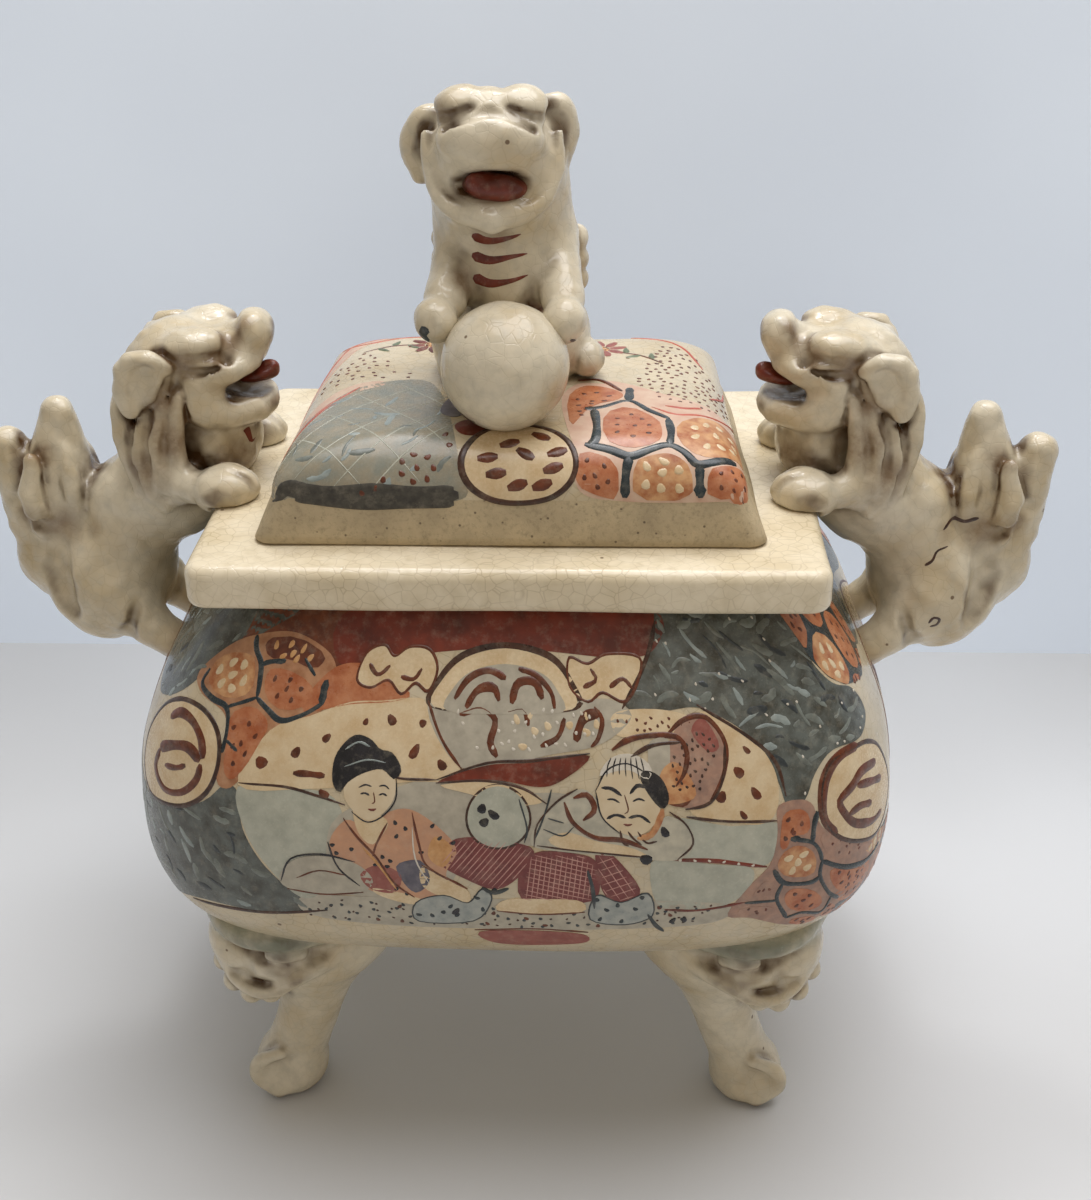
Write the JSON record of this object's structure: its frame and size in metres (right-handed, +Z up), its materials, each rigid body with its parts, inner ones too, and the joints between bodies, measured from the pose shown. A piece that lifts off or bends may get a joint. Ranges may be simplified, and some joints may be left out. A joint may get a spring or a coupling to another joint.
{
  "type": "koro incense burner",
  "caption": "Footed pillow-shaped earthenware koro with climbing guardian-lion handles and a lift-off domed lid topped by a seated lion with a ball.",
  "frame": {"origin": "on the table under the middle of the bowl, level with the soles of the feet", "axes": "+Z up, -Y towards the painted front panel, +X towards the right-hand handle lion"},
  "size_m": [0.2432, 0.144, 0.2305],
  "materials": {
    "painted_glaze": "cream crackle glaze with overglaze enamels",
    "crackle_glaze": "glossy cream crackle glaze",
    "biscuit": "unglazed greyish buff earthenware, matt",
    "iron_red_enamel": "glossy iron-red enamel"
  },
  "bodies": {
    "vessel": {"bowl": "painted_glaze", "rim": "crackle_glaze", "foot_front_left": "crackle_glaze", "foot_front_right": "crackle_glaze", "foot_back_left": "crackle_glaze", "foot_back_right": "crackle_glaze", "left_lion_trunk": "crackle_glaze", "left_lion_head": "crackle_glaze", "left_lion_tongue": "iron_red_enamel", "left_lion_ear_back": "crackle_glaze", "left_lion_ear_front": "crackle_glaze", "left_lion_foreleg_back": "crackle_glaze", "left_lion_foreleg_front": "crackle_glaze", "left_lion_tail": "crackle_glaze", "left_lion_hindleg_back": "crackle_glaze", "left_lion_hindleg_front": "crackle_glaze", "right_lion_trunk": "crackle_glaze", "right_lion_head": "crackle_glaze", "right_lion_tongue": "iron_red_enamel", "right_lion_ear_back": "crackle_glaze", "right_lion_ear_front": "crackle_glaze", "right_lion_foreleg_back": "crackle_glaze", "right_lion_foreleg_front": "crackle_glaze", "right_lion_tail": "crackle_glaze", "right_lion_hindleg_back": "crackle_glaze", "right_lion_hindleg_front": "crackle_glaze"},
    "lid": {"lid_shell": "painted_glaze", "lid_flange": "biscuit", "finial_ball": "crackle_glaze", "finial_trunk": "crackle_glaze", "finial_head": "crackle_glaze", "finial_tongue": "iron_red_enamel", "finial_ear_left": "crackle_glaze", "finial_ear_right": "crackle_glaze", "finial_foreleg_left": "crackle_glaze", "finial_foreleg_right": "crackle_glaze", "finial_hindleg_left": "crackle_glaze", "finial_hindleg_right": "crackle_glaze", "finial_tail": "crackle_glaze"}
  },
  "joints": [
    {"name": "lid_lift", "type": "slide", "parent": "vessel", "child": "lid", "axis": [0, 0, 1], "range_m": [0, 0.07]}
  ]
}
